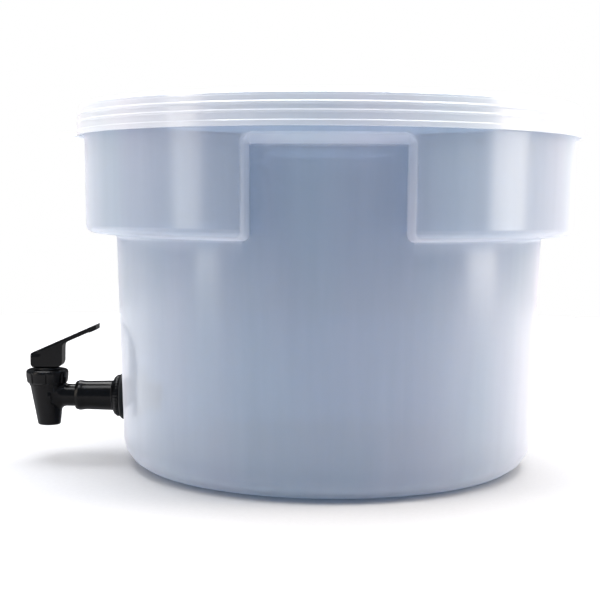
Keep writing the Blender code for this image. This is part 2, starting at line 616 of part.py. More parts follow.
def build():
    """Clears the scene and builds every piece."""
    for obj in list(bpy.data.objects):
        bpy.data.objects.remove(obj)
    parts = bpy.data.collections.new("container_with_tap")
    cutters = bpy.data.collections.new("cutters")
    for collection in (parts, cutters):
        bpy.context.scene.collection.children.link(collection)
    natural = plastic("natural_polypropylene", (0.72, 0.78, 0.84), 0.35, 0.6)
    black = plastic("black_acetal", (0.012, 0.012, 0.014), 0.35)
    white = plastic("white_acetal", (0.80, 0.80, 0.78), 0.4)
    silicone = plastic("silicone", (0.70, 0.72, 0.72), 0.5)
    rubber = plastic("black_rubber", (0.02, 0.02, 0.022), 0.6)
    metal = steel("stainless_steel")
    make_bucket(parts, cutters, natural)
    make_lid(parts, cutters, natural)
    make_shank(parts, cutters, black, rubber)
    make_tap_body(parts, cutters, black)
    make_bonnet(parts, black)
    make_seat_cup(parts, silicone)
    make_stem(parts, cutters, white)
    make_spring(parts, metal, white)
    make_lever(parts, cutters, black, metal)
    weld_after_cuts((parts, cutters))


build()
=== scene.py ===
"""Looks for a round polypropylene fermenting bucket with a snap lid and a push-lever tap.

Metres, +Z up. The origin is the middle of the underside of the base, and the tap points along -X.
"""

from math import cos, pi, radians, sin, sqrt, tan

import bpy
import numpy as np
from mathutils import Matrix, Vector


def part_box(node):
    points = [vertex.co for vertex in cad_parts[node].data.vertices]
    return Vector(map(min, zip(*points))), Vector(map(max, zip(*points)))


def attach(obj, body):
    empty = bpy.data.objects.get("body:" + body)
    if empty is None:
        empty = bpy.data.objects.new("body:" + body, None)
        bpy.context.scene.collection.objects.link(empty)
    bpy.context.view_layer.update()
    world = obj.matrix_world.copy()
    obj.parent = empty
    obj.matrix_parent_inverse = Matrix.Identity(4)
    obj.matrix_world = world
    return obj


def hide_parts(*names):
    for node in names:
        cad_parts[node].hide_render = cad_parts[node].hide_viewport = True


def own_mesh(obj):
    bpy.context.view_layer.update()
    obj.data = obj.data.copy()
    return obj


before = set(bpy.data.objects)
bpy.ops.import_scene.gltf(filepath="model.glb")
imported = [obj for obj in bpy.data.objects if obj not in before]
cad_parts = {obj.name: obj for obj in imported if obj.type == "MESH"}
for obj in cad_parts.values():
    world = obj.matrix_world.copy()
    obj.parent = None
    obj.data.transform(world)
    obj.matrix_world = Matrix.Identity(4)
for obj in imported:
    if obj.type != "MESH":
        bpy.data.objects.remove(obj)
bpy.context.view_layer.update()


# The bucket: one injection-moulded tub of natural polypropylene, milky and see-through.
# Its wall steps out into a deep band under the rim, and stays in at two finger recesses,
# front and back. Everything else clips or bolts to it.
RIM_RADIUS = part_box("bucket")[1].x
RIM_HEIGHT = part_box("bucket")[1].z
WALL, FLOOR = 0.0024, 0.0030
BODY_TOP, BODY_TOP_RADIUS, BODY_DRAFT = 0.1434, 0.1328, radians(1.88)
BAND_FACE, BAND_DRAFT, BAND_CORNER = 0.1514, radians(0.9), 0.0050
UNDER_SLOPE = radians(7.0)
BAND_BOTTOM = BODY_TOP + (BAND_FACE - BODY_TOP_RADIUS) * tan(UNDER_SLOPE)
BASE_CORNER, SHOULDER = 0.0175, 0.0020
GATE_RING = 0.0325
RECESS_HALF, RECESS_DRAFT, RECESS_SLOPE = 0.0460, radians(11.7), radians(16.0)
RECESS_CEILING = 0.2005
RECESS_TOP_CORNER, RECESS_LOW_CORNER = 0.0062, 0.0044
RECESS_FACE = sqrt(BAND_FACE**2 - RECESS_HALF**2)
INNER_FILLET, OUTER_FILLET = 0.0009, 0.0016


def outline(corners, spacing, closed=False):
    """Points along (radius, height, rounding) corners. Straight runs are cut every `spacing`.
    A rounding turns its corner into an arc about the point on the bisector at rounding / sin(half the corner)."""
    corners = np.array([(*corner, 0.0)[:3] for corner in corners])
    count, arcs = len(corners), []
    for index, (*here, rounding) in enumerate(corners):
        here = np.array(here)
        if rounding and (closed or 0 < index < count - 1):
            back = corners[index - 1, :2] - here
            ahead = corners[(index + 1) % count, :2] - here
            back, ahead = back / np.linalg.norm(back), ahead / np.linalg.norm(ahead)
            half = np.arccos(np.clip(back @ ahead, -1, 1)) / 2
            centre = here + (back + ahead) / np.linalg.norm(back + ahead) * rounding / sin(half)
            start = here + back * rounding / tan(half) - centre
            end = here + ahead * rounding / tan(half) - centre
            turn = np.arctan2(start[0] * end[1] - start[1] * end[0], start @ end)
            angle = turn * np.linspace(0, 1, max(5, int(abs(turn) * rounding / spacing)))
            turned = [start[0] * np.cos(angle) - start[1] * np.sin(angle),
                      start[0] * np.sin(angle) + start[1] * np.cos(angle)]
            arcs.append(centre + np.stack(turned, -1))
        else:
            arcs.append(here[None])
    joined = [arcs[0]]
    for before, after in zip(arcs, arcs[1:] + arcs[:1] * closed):
        run = after[0] - before[-1]
        cuts = int(np.linalg.norm(run) / spacing)
        joined += [before[-1] + run * (np.arange(1, cuts + 1) / (cuts + 1))[:, None], after]
    return np.concatenate(joined[:-1] if closed else joined)


def shell(name, rings, looped=False, sharp=32.0):
    """A closed skin through rings of points, an array of (rings, points round, xyz).
    Each ring joins the next by four-sided faces. A looped skin joins the last ring to the first;
    any other closes each end at the mean of its last ring. A negative enclosed volume turns the faces round."""
    rings = np.asarray(rings, float)
    count, around = rings.shape[:2]
    index = np.arange(count * around).reshape(count, around)
    lower, upper = (index, np.roll(index, -1, 0)) if looped else (index[:-1], index[1:])
    quads = np.stack([lower, np.roll(lower, -1, 1), np.roll(upper, -1, 1), upper], -1).reshape(-1, 4)
    points, fans = rings.reshape(-1, 3), np.zeros((0, 3), int)
    if not looped:
        points = np.concatenate([points, rings[0].mean(0)[None], rings[-1].mean(0)[None]])
        first, last = index[0], index[-1]
        fans = np.concatenate([
            np.stack([np.roll(first, -1), first, np.full(around, count * around)], -1),
            np.stack([last, np.roll(last, -1), np.full(around, count * around + 1)], -1)])
    triangles = np.concatenate([quads[:, :3], quads[:, [0, 2, 3]], fans])
    if np.einsum("ij,ij->", points[triangles[:, 0]], np.cross(points[triangles[:, 1]], points[triangles[:, 2]])) < 0:
        quads, fans = quads[:, ::-1], fans[:, ::-1]
    mesh = bpy.data.meshes.new(name)
    mesh.from_pydata(points.tolist(), [], quads.tolist() + fans.tolist())
    mesh.shade_smooth()
    mesh.set_sharp_from_angle(angle=radians(sharp))
    piece = bpy.data.objects.new(name, mesh)
    bpy.context.scene.collection.objects.link(piece)
    return piece


def linear(code):
    """An sRGB hex colour as linear light: c / 12.92 in the darkest part, else ((c + 0.055) / 1.055) ** 2.4."""
    shares = np.array([int(code[place:place + 2], 16) for place in (1, 3, 5)]) / 255
    return (*np.where(shares <= 0.04045, shares / 12.92, ((shares + 0.055) / 1.055) ** 2.4), 1.0)


def add(tree, kind, sockets=None, **settings):
    """Adds one shader node. A socket takes a plain value, or another node's output to link to it."""
    made = tree.nodes.new("ShaderNode" + kind)
    for key, value in settings.items():
        setattr(made, key, value)
    for key, value in (sockets or {}).items():
        if isinstance(value, bpy.types.NodeSocket):
            tree.links.new(value, made.inputs[key])
        else:
            made.inputs[key].default_value = value
    return made


def new_material(name):
    """An empty material, its node tree, and a Texture Coordinate's Object output."""
    made = bpy.data.materials.new(name)
    made.use_nodes = True
    made.node_tree.nodes.clear()
    return made, made.node_tree, add(made.node_tree, "TexCoord").outputs["Object"]


def milky(name, milk, body, tint, depths, roughness):
    """Polypropylene with no pigment, off a polished mould: crystals in it scatter light, so it is white where the
    line of sight runs far through the wall, and clear enough face-on to show dimly what is behind, tinted `depths`.
    Milkiness = 1 - exp(-milk / cosine of the angle of view). Faint flow streaks of about 12 mm run up the wall,
    and fainter bands of `tint` some 50 mm wide come from stress in the moulding. The skin mirrors by Fresnel's
    law up to 0.14, where the mould's fine grain breaks the mirror up at a grazing view."""
    made, tree, here = new_material(name)
    streaks = add(tree, "TexNoise", {
        "Vector": add(tree, "Mapping", {"Vector": here, "Scale": (80.0, 80.0, 7.0)}).outputs[0],
        "Scale": 1.0, "Detail": 3.0, "Roughness": 0.55}).outputs[0]
    bands = add(tree, "TexNoise", {
        "Vector": add(tree, "Mapping", {"Vector": here, "Scale": (20.0, 20.0, 6.0)}).outputs[0],
        "Scale": 1.0, "Detail": 1.0}).outputs[0]
    facing = add(tree, "LayerWeight", {"Blend": 0.5}).outputs["Facing"]
    cosine = add(tree, "Math", {0: add(tree, "Math", {0: 1.0, 1: facing}, operation="SUBTRACT").outputs[0],
                                1: 0.06}, operation="MAXIMUM").outputs[0]
    thick = add(tree, "MapRange", {0: streaks, 1: 0.3, 2: 0.7, 3: -0.96 * milk, 4: -1.04 * milk}).outputs[0]
    depth = add(tree, "Math", {0: thick, 1: cosine}, operation="DIVIDE").outputs[0]
    clear = add(tree, "Math", {0: depth}, operation="EXPONENT").outputs[0]
    wash = add(tree, "ValToRGB", {0: bands})
    wash.color_ramp.elements[0].position, wash.color_ramp.elements[1].position = 0.35, 0.65
    wash.color_ramp.elements[0].color, wash.color_ramp.elements[1].color = linear(body), linear(tint)
    skin = add(tree, "BsdfDiffuse", {"Color": wash.outputs[0]})
    through = add(tree, "BsdfTranslucent", {"Color": wash.outputs[0]})
    scatter = add(tree, "MixShader", {0: 0.45, 1: skin.outputs[0], 2: through.outputs[0]})
    open_way = add(tree, "BsdfTransparent", {"Color": linear(depths)})
    within = add(tree, "MixShader", {0: clear, 1: scatter.outputs[0], 2: open_way.outputs[0]})
    polish = add(tree, "BsdfPrincipled", {"Base Color": (1, 1, 1, 1), "Metallic": 1.0, "Roughness": roughness})
    mirror = add(tree, "Math", {0: add(tree, "Fresnel", {"IOR": 1.49}).outputs[0], 1: 0.14}, operation="MINIMUM")
    mixed = add(tree, "MixShader", {0: mirror.outputs[0], 1: within.outputs[0], 2: polish.outputs[0]})
    add(tree, "OutputMaterial", {"Surface": mixed.outputs[0]})
    return made


def body_radius(height):
    """The body's outside radius: a cone of 1.88 degrees."""
    return BODY_TOP_RADIUS - (BODY_TOP - height) * tan(BODY_DRAFT)


def band_radius(height):
    """The band's outside radius: a cone of 0.9 degrees."""
    return BAND_FACE + (height - BODY_TOP) * tan(BAND_DRAFT)


def soft_least(one, other, reach):
    """The smaller of two arrays, less reach / 4 * (1 - gap / reach) ** 2 where their gap is within reach."""
    return np.minimum(one, other) - reach / 4 * np.clip(1 - np.abs(one - other) / reach, 0, 1) ** 2


def ring_angles(low, high, count):
    """`count` even steps from low to high, where low may be an angle for each ring."""
    return low + (high - low) * np.linspace(0, 1, count)


def tub_rings(radius, height, grown):
    """The wall's rings seen from above, from (radius, height) stations; `grown` is how far this skin lies inside
    the outer one. Away from the recesses a ring is the circle of its radius. Across a recess it runs along the
    recess floor, a circle that keeps to the body's cone and then follows the ceiling's slope, turns through a small
    curve into the side wall, x = half width + (y - face) * tan(draft), and through another onto the band.
    One quarter is worked out and mirrored twice."""
    radius, height = radius[:, None], height[:, None]
    slope = tan(RECESS_SLOPE)
    core = body_radius(height) - grown
    ceiling = RECESS_CEILING + grown / cos(RECESS_SLOPE)
    roof = soft_least(BAND_FACE + (height - ceiling) / slope, radius, 0.0014)
    floor = -soft_least(-core, -roof, 0.0010)
    depth = radius - floor
    cut_in = (depth > 0.0001) & (height > BODY_TOP - SHOULDER) & (roof < radius - 0.00005)

    def half_width(out):
        circle = np.hypot(out, RECESS_HALF)
        shallow = np.clip((circle - BODY_TOP_RADIUS) / (BAND_FACE - BODY_TOP_RADIUS), 0.2, 1)
        high = RECESS_TOP_CORNER * shallow + grown
        low = max(RECESS_LOW_CORNER - grown, 0.0010)
        into_top = np.clip(height - (ceiling + (circle - BAND_FACE) * slope - high), 0, high)
        underside = BAND_BOTTOM + grown - (BAND_FACE - circle) * tan(UNDER_SLOPE)
        into_low = np.clip(underside + low - height, 0, low)
        return (RECESS_HALF + (out - RECESS_FACE) * tan(RECESS_DRAFT) + grown / cos(RECESS_DRAFT)
                - high + np.sqrt(high**2 - into_top**2) + low - np.sqrt(low**2 - into_low**2))

    def meets(circle):
        out = circle * 0.96
        for _ in range(6):
            across = half_width(out)
            out = np.sqrt(circle**2 - across**2)
        return across, out

    def on_circle(circle, angle):
        return np.stack(np.broadcast_arrays(circle * np.sin(angle), -circle * np.cos(angle)), -1)

    def curve(start, corner, end, shares):
        shares = shares[None, :, None]
        return (1 - shares)**2 * start + 2 * shares * (1 - shares) * corner + shares**2 * end

    safe = np.where(cut_in, floor, radius - 0.01)
    (near_x, near_y), (far_x, far_y) = meets(safe), meets(radius)
    inner = np.minimum(max(INNER_FILLET - grown / 4, 0.0004) + 0 * depth, 0.4 * (far_y - near_y))
    outer = np.minimum(OUTER_FILLET + 0 * depth, 0.4 * (far_y - near_y))
    near_angle, far_angle = np.arcsin(near_x / safe), np.arcsin(far_x / radius)
    shares = np.linspace(0, 1, 5)[1:-1]
    side_out = (near_y + inner) + (far_y - outer - near_y - inner) * np.linspace(0, 1, 5)
    side = np.stack([half_width(side_out), -side_out], -1)
    start = on_circle(safe, near_angle - inner / safe)
    end = on_circle(radius, far_angle + outer / radius)
    notched = np.concatenate([
        on_circle(safe, (near_angle - inner / safe) * np.linspace(0, 1, 20)),
        curve(start, np.stack([near_x, -near_y], -1), side[:, :1], shares),
        side,
        curve(side[:, -1:], np.stack([far_x, -far_y], -1), end, shares),
        on_circle(radius, ring_angles(far_angle + outer / radius, pi / 2, 38)),
    ], 1)
    between = np.linspace(0, 1, 13)[1:-1]
    faded = np.clip((height - RECESS_CEILING) / 0.012, 0, 1)
    middle = np.where(height > 0.19, 0.262 + 0.05 * faded, 0.354)
    plain = on_circle(radius, np.concatenate([
        (middle - 0.012) * np.linspace(0, 1, 20),
        middle - 0.012 + 0.024 * between,
        ring_angles(middle + 0.012, pi / 2, 38)], 1))
    quarter = np.where(cut_in[:, :, None], notched, plain)
    half = np.concatenate([quarter, quarter[:, -2::-1] * (1, -1)], 1)
    whole = np.concatenate([half, half[:, -2:0:-1] * (-1, 1)], 1)
    return np.concatenate([whole, np.broadcast_to(height[:, :, None], (*whole.shape[:2], 1))], 2)


def thickened(points, low, high, spacing):
    """The same outline with points added every `spacing` where its height is between low and high."""
    run = np.concatenate([[0], np.cumsum(np.linalg.norm(np.diff(points, axis=0), axis=1))])
    extra = np.arange(0, run[-1], spacing)
    heights = np.interp(extra, run, points[:, 1])
    stations = np.unique(np.round(np.concatenate([run, extra[(heights > low) & (heights < high)]]), 6))
    return np.stack([np.interp(stations, run, points[:, column]) for column in (0, 1)], -1)


rise = WALL / cos(UNDER_SLOPE) - WALL * tan(UNDER_SLOPE)
under_rim = RIM_HEIGHT - 0.0030
outside = outline([
    (0.0008, 0.0007), (GATE_RING - 0.0006, 0.0007), (GATE_RING, 0.0003), (0.1010, 0.0003), (0.1030, 0.0, 0.0006),
    (body_radius(0.0), 0.0, BASE_CORNER), (BODY_TOP_RADIUS, BODY_TOP, SHOULDER),
    (band_radius(BAND_BOTTOM), BAND_BOTTOM, BAND_CORNER), (band_radius(under_rim), under_rim, 0.0003),
    (RIM_RADIUS, under_rim, 0.0006), (RIM_RADIUS, RIM_HEIGHT, 0.0008), (band_radius(RIM_HEIGHT), RIM_HEIGHT),
], 0.0070)
inside = outline([
    (band_radius(RIM_HEIGHT) - WALL / 2, RIM_HEIGHT), (band_radius(RIM_HEIGHT) - WALL, RIM_HEIGHT, 0.0006),
    (band_radius(BAND_BOTTOM) - WALL, BAND_BOTTOM + rise, BAND_CORNER - WALL),
    (BODY_TOP_RADIUS - WALL, BODY_TOP + rise, SHOULDER),
    (body_radius(FLOOR) - WALL, FLOOR, BASE_CORNER - WALL),
    (GATE_RING + 0.0006, FLOOR), (GATE_RING, FLOOR + 0.0005, 0.0003), (GATE_RING - 0.0006, FLOOR), (0.0008, FLOOR),
], 0.0070)
outside = thickened(thickened(outside, 0.1925, 0.2030, 0.0008), BODY_TOP, 0.1530, 0.0010)
inside = thickened(thickened(inside, 0.1945, 0.2060, 0.0008), BODY_TOP, 0.1540, 0.0012)
bucket = shell("bucket_shell", np.concatenate([
    tub_rings(outside[:, 0], outside[:, 1], 0.0), tub_rings(inside[:, 0], inside[:, 1], WALL)]))
natural_polypropylene = milky("natural_polypropylene", 0.34, "#e6eaef", "#ebe9ef", "#bccad8", 0.18)
bucket.data.materials.append(natural_polypropylene)
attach(bucket, "bucket_and_tap")
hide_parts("bucket")


# The snap lid: the same polypropylene, moulded thinner, yet drawn whiter and far milkier than the bucket: partly the
# lid's own denser milk, and partly painted light standing in for the top light it carries down into its skirt. Its
# skirt carries two stiffening ribs and snaps over the rim, a plug wall seats inside the mouth, and a lift tab stands
# out over the tap.
LID_RADIUS, LID_TOP, LID_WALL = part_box("lid")[1].x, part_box("lid")[1].z, 0.0016
LID_BOTTOM, LID_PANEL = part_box("lid")[0].z, LID_TOP - 0.0068
LID_PLUG = band_radius(LID_PANEL) - WALL - 0.0003
TAB_END, TAB_HALF, TAB_THICK, TAB_CORNER = -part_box("lid")[0].x, 0.0130, 0.0018, 0.0060


def lid_rings(points, tab_rows, angles):
    """The lid's profile turned about Z. Along the tab's rows the points slide out towards -X by
    reach(y) = tab end - corner rounding - the skirt's own x, and elsewhere those rows climb the skirt evenly."""
    radius, height = points[:, 0][:, None], points[:, 1][:, None]
    along, y = radius * np.cos(angles), radius * np.sin(angles)
    z = np.broadcast_to(height, along.shape).copy()
    start, end = tab_rows
    skirt_y, skirt_x = LID_RADIUS * np.sin(angles), LID_RADIUS * np.cos(angles)
    off_straight = np.clip(np.abs(skirt_y) - (TAB_HALF - TAB_CORNER), 0, TAB_CORNER)
    reach = TAB_END - TAB_CORNER + np.sqrt(TAB_CORNER**2 - off_straight**2) + skirt_x
    present = (skirt_x < 0) * np.clip((TAB_HALF + 0.0007 - np.abs(skirt_y)) / 0.0007, 0, 1)
    share = points[start:end, 0][:, None] - LID_RADIUS
    flat = np.linspace(LID_BOTTOM + 0.0002, LID_BOTTOM + TAB_THICK + 0.0006, end - start)[:, None]
    along[start:end] = np.where(present > 0, skirt_x - share * reach * present, LID_RADIUS * np.cos(angles))
    y[start:end] = skirt_y
    z[start:end] = height[start:end] * present + flat * (1 - present)
    return np.stack([along, y, z], -1)


skirt = LID_RADIUS - LID_WALL
inner_side = outline([
    (0.0008, LID_PANEL - LID_WALL), (LID_PLUG, LID_PANEL - LID_WALL, 0.0006), (LID_PLUG, LID_TOP - LID_WALL, 0.0004),
    (skirt, LID_TOP - LID_WALL, 0.0008), (skirt, LID_BOTTOM + 0.0006), (skirt + 0.0003, LID_BOTTOM, 0.0002),
    (LID_RADIUS - 0.0004, LID_BOTTOM),
], 0.0060)
steps = np.linspace(0.04, 0.96, 8)
tab_side = np.concatenate([
    np.stack([LID_RADIUS + steps, np.full(8, LID_BOTTOM)], -1),
    [(LID_RADIUS + 0.99, LID_BOTTOM + 0.0003), (LID_RADIUS + 1.0, LID_BOTTOM + TAB_THICK / 2),
     (LID_RADIUS + 0.99, LID_BOTTOM + TAB_THICK - 0.0003)],
    np.stack([LID_RADIUS + steps[::-1], LID_BOTTOM + TAB_THICK + 0.0006 * (1 - steps[::-1])**6], -1)])
outer_side = outline([
    (LID_RADIUS, LID_BOTTOM + 0.0027), (LID_RADIUS - 0.0004, LID_BOTTOM + 0.0033),
    (LID_RADIUS - 0.0004, 0.2107, 0.0004), (LID_RADIUS, 0.2112, 0.0003), (LID_RADIUS, 0.2119, 0.0003),
    (LID_RADIUS - 0.0009, 0.2126, 0.0004), (LID_RADIUS - 0.0010, 0.2150, 0.0005), (LID_RADIUS - 0.0005, 0.2158, 0.0003),
    (LID_RADIUS - 0.0005, 0.2164, 0.0003), (LID_RADIUS - 0.0013, 0.2172, 0.0004), (LID_RADIUS - 0.0015, 0.2200, 0.0004),
    (LID_RADIUS - 0.0022, 0.2207, 0.0004), (LID_RADIUS - 0.0034, LID_TOP, 0.0020),
    (LID_PLUG - LID_WALL, LID_TOP, 0.0006), (LID_PLUG - LID_WALL, LID_PANEL, 0.0012),
    (0.1235, LID_PANEL), (0.1225, LID_PANEL + 0.0006, 0.0003), (0.1205, LID_PANEL + 0.0006, 0.0003),
    (0.1195, LID_PANEL), (0.0045, LID_PANEL), (0.0040, LID_PANEL - 0.0003), (0.0008, LID_PANEL - 0.0003),
], 0.0060)
tab_first = len(inner_side)
tab_ys = np.concatenate([np.linspace(0, 0.0066, 6), TAB_HALF - TAB_CORNER * (1 - np.sin(np.linspace(0.15, 1.57, 9))),
                         [0.0132, 0.01335, 0.0137, 0.0142]])
tab_angles = pi - np.arcsin(np.concatenate([tab_ys, -tab_ys[1:]]) / LID_RADIUS)
even = np.linspace(0, 2 * pi, 289)[:-1]
even = even[np.abs(even - pi) > 0.10]
lid = shell("lid_shell", lid_rings(np.concatenate([inner_side, tab_side, outer_side]),
                                   (tab_first, tab_first + len(tab_side)), np.sort(np.concatenate([even, tab_angles]))))
# Whiter body and milk 0.95, against the bucket's 0.34: partly the lid's own denser milk, partly painted light for the
# top light carried down into the skirt.
lid_polypropylene = milky("lid_polypropylene", 0.95, "#f2f4f7", "#f6f4f7", "#dfe8f0", 0.14)
lid.data.materials.append(lid_polypropylene)
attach(lid, "lid")
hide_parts("lid")


# The shank: a black acetal tube through the wall, with a flange that clamps outside and a rolled mouth
# that the tap's neck pushes into. Injection moulded, with a serrated flange to turn it by.
TAP_HEIGHT, WALL_X = 0.0398, -body_radius(0.0398)
FLANGE_FACE = 0.0030
SERRATIONS = 40


def about_tube(points, angles, ripple=0.0, teeth=1):
    """(radius, distance from the wall) turned about the tap's tube, which runs along -X at the tap's height.
    radius * (1 + ripple * cos(teeth * angle)) gives grips their serrations; ripple may differ from row to row."""
    radius, along = points[:, 0][:, None], points[:, 1][:, None]
    radius = radius * (1 + np.asarray(ripple).reshape(-1, 1) * np.cos(teeth * angles))
    across, height = radius * np.cos(angles), TAP_HEIGHT + radius * np.sin(angles)
    return np.stack(np.broadcast_arrays(WALL_X - along, across, height), -1)


def moulded(name, colour, worn, roughness, speck=0.0004, lift=0.06):
    """An opaque moulded plastic or rubber: `worn` shows in soft patches about 6 mm wide, and a fine
    grain of `speck` metres, the texture of the mould, breaks up the gloss. It is drawn three times its real
    size, so that it shows. The gloss follows Fresnel's law up to 0.05, as on a finely etched mould."""
    made, tree, here = new_material(name)
    grain = add(tree, "TexNoise", {"Vector": here, "Scale": 1 / (3 * speck), "Detail": 2.0}).outputs[0]
    patches = add(tree, "TexNoise", {"Vector": here, "Scale": 160.0, "Detail": 3.0}).outputs[0]
    shade = add(tree, "ValToRGB", {0: patches})
    shade.color_ramp.elements[0].position, shade.color_ramp.elements[1].position = 0.35, 0.75
    shade.color_ramp.elements[0].color, shade.color_ramp.elements[1].color = linear(colour), linear(worn)
    gloss = add(tree, "MapRange", {0: patches, 3: roughness - 0.06, 4: roughness + 0.08}).outputs[0]
    bump = add(tree, "Bump", {"Height": grain, "Strength": lift, "Distance": 0.0002}).outputs[0]
    matt = add(tree, "BsdfDiffuse", {"Color": shade.outputs[0], "Normal": bump}).outputs[0]
    polish = add(tree, "BsdfPrincipled", {
        "Base Color": (1, 1, 1, 1), "Metallic": 1.0, "Roughness": gloss, "Normal": bump})
    mirror = add(tree, "Math", {0: add(tree, "Fresnel", {"IOR": 1.26}).outputs[0], 1: 0.05}, operation="MINIMUM")
    skin = add(tree, "MixShader", {0: mirror.outputs[0], 1: matt, 2: polish.outputs[0]})
    add(tree, "OutputMaterial", {"Surface": skin.outputs[0]})
    return made


tube_profile = outline([
    (0.0060, 0.0138), (0.0074, 0.0138, 0.0002), (0.0074, 0.0309), (0.0080, 0.0315, 0.0002),
    (0.0088, 0.0315, 0.0004), (0.0096, 0.0293, 0.0005), (0.0096, 0.0283, 0.0004), (0.0093, 0.0266, 0.0008),
    (0.0091, 0.0250), (0.0095, 0.0082, 0.0008), (0.0100, 0.0074, 0.0004), (0.0118, 0.0066, 0.0006),
    (0.0130, 0.0050, 0.0004), (0.0132, 0.0048, 0.0002), (0.0132, 0.0031, 0.0002), (0.0088, FLANGE_FACE),
    (0.0088, -0.0226, 0.0004), (0.0060, -0.0226, 0.0004),
], 0.0030, closed=True)
on_flange = (tube_profile[:, 0] > 0.0126) & (tube_profile[:, 1] > 0.0030)
round_tube = np.linspace(0, 2 * pi, 161)[:-1]
shank = shell("shank", about_tube(tube_profile, round_tube, 0.010 * on_flange, SERRATIONS), looped=True)
black_acetal = moulded("black_acetal", "#050506", "#0a0a0c", 0.20)
shank.data.materials.append(black_acetal)
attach(shank, "bucket_and_tap")
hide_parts("shank_tube")


# The two gaskets: punched rubber washers, one each side of the wall, squeezed to the wall's curve.
# The lock nut inside is a hexagon of black acetal, chamfered on its outer face.
GASKET_RADIUS, NUT_FACE, NUT_DEPTH, NUT_FLATS = 0.0150, -0.0056, 0.0070, 0.0127


def against_wall(rings, face, gap):
    """Slides the rows marked `face` along X onto the wall: x = -sqrt(radius at that height ** 2 - y ** 2) - gap."""
    y, z = rings[face, :, 1], rings[face, :, 2]
    rings[face, :, 0] = -np.sqrt(body_radius(z) ** 2 - y**2) - gap
    return rings


black_rubber = moulded("black_rubber", "#0d0f12", "#16191d", 0.52, speck=0.0008, lift=0.12)
outer_profile = outline([
    (0.0091, 0.0027), (0.0139, 0.0027, 0.0006), (GASKET_RADIUS, 0.0016, 0.0006), (GASKET_RADIUS, 0.0),
    (0.0121, 0.0), (0.0091, 0.0),
], 0.0010, closed=True)
outer_rings = about_tube(outer_profile, round_tube)
inner_profile = outline([
    (0.0091, 0.0), (0.0121, 0.0), (GASKET_RADIUS, 0.0), (GASKET_RADIUS, -0.0053, 0.0006), (0.0091, -0.0053, 0.0002),
], 0.0010, closed=True)
inner_rings = about_tube(inner_profile, round_tube)
outer_gasket = shell(
    "wall_gasket_outside", against_wall(outer_rings, outer_profile[:, 1] < 1e-6, 0.0002), looped=True)
inner_gasket = shell(
    "wall_gasket_inside", against_wall(inner_rings, inner_profile[:, 1] > -1e-6, -WALL - 0.0003), looped=True)
for gasket, node in ((outer_gasket, "outer_gasket"), (inner_gasket, "inner_gasket")):
    gasket.data.materials.append(black_rubber)
    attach(gasket, "bucket_and_tap")
    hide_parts(node)

nut_profile = outline([
    (0.0091, NUT_FACE), (0.0146, NUT_FACE, 0.0003), (0.0146, NUT_FACE - NUT_DEPTH + 0.0010),
    (0.0132, NUT_FACE - NUT_DEPTH, 0.0003), (0.0091, NUT_FACE - NUT_DEPTH),
], 0.0010, closed=True)
nut_rings = about_tube(nut_profile, round_tube)
turn = np.mod(round_tube, pi / 3) - pi / 6
reach_out = np.hypot(nut_rings[..., 1], nut_rings[..., 2] - TAP_HEIGHT)
trim = np.minimum(1, NUT_FLATS / np.cos(turn)[None] / reach_out)
nut_rings[..., 1] *= trim
nut_rings[..., 2] = TAP_HEIGHT + (nut_rings[..., 2] - TAP_HEIGHT) * trim
nut = shell("lock_nut", nut_rings, looped=True, sharp=25.0)
nut.data.materials.append(black_acetal)
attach(nut, "bucket_and_tap")
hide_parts("inner_lock_nut")


# The tap body: spout and neck in one acetal moulding. The spout tapers to its outlet and leans towards
# the bucket, and the neck runs back from it with a fillet all round.
STEM_X = WALL_X - 0.0503
SPOUT_LOW, SPOUT_HIGH, SPOUT_TOP, SPOUT_END, SPOUT_SHIFT = 0.0209, 0.0475, 0.0109, 0.0070, 0.0012
NECK_RADIUS, NECK_FILLET = 0.0071, 0.0030


def about_stem(points, angles, lean=0.0):
    """(radius, height) turned about the stem's axis; lean shifts each row towards the bucket."""
    radius, height = points[:, 0][:, None], points[:, 1][:, None]
    shift = np.asarray(lean).reshape(-1, 1)
    x, y = STEM_X + shift + radius * np.cos(angles), radius * np.sin(angles)
    return np.stack(np.broadcast_arrays(x, y, height), -1)


def spout_radius(height):
    """The spout's outside radius, a cone from its outlet up to the bonnet."""
    return SPOUT_END + (SPOUT_TOP - SPOUT_END) * (height - SPOUT_LOW) / (SPOUT_HIGH - SPOUT_LOW)


def spout_lean(height):
    """How far the spout has shifted towards the bucket at a height, in proportion to the drop."""
    return SPOUT_SHIFT * np.clip((SPOUT_HIGH - height) / (SPOUT_HIGH - SPOUT_LOW), 0, 1)


def cut(piece, other, operation="DIFFERENCE"):
    """Joins or cuts two closed skins for good, merges doubled points, and removes the tool."""
    modifier = piece.modifiers.new(operation, "BOOLEAN")
    modifier.operation, modifier.object, modifier.solver = operation, other, "EXACT"
    piece.modifiers.new("Doubles", "WELD").merge_threshold = 0.000004
    made = bpy.data.meshes.new_from_object(piece.evaluated_get(bpy.context.evaluated_depsgraph_get()))
    piece.modifiers.clear()
    piece.data = made
    bpy.data.objects.remove(other)
    made.set_sharp_from_angle(angle=radians(32))
    return piece


